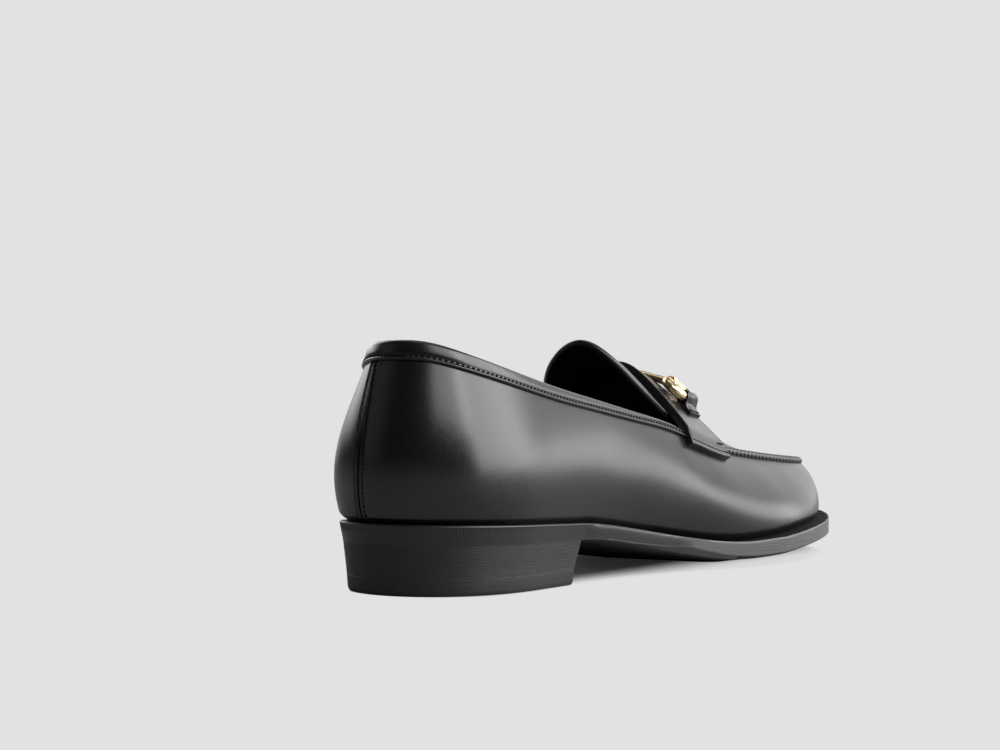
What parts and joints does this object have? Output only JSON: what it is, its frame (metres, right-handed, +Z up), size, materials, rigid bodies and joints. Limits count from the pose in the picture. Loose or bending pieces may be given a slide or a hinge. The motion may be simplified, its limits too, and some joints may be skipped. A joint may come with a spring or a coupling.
{
  "type": "snaffle-bit loafer, right shoe",
  "caption": "Black leather slip-on loafer for the right foot, hollow, with apron seam, tongue, saddle strap, brass snaffle bit, welted sole and stacked heel.",
  "frame": {"origin": "on the floor under the middle of the shoe's box", "axes": "+X from the heel to the toe, +Y to the inner (medial) side of the foot, +Z up"},
  "size_m": [0.3022, 0.1014, 0.085],
  "materials": {
    "calf_upper": "polished smooth calf",
    "calf_lining": "matt lining",
    "sole_edge": "inked and waxed edge",
    "heel_stack": "inked and waxed lifts",
    "heel_top_piece": "matt",
    "brass_bit": "polished"
  },
  "bodies": {
    "root": {"outsole": "sole_edge", "welt": "sole_edge", "heel_stack": "heel_stack", "top_piece": "heel_top_piece", "insole": "calf_lining", "upper": "calf_upper", "collar_band": "calf_upper", "tongue": "calf_upper", "saddle_strap": "calf_upper", "bit_loop_lateral": "calf_upper", "bit_loop_medial": "calf_upper", "bit_ring_lateral": "brass_bit", "bit_ring_medial": "brass_bit", "bit_bar": "brass_bit"}
  },
  "joints": []
}
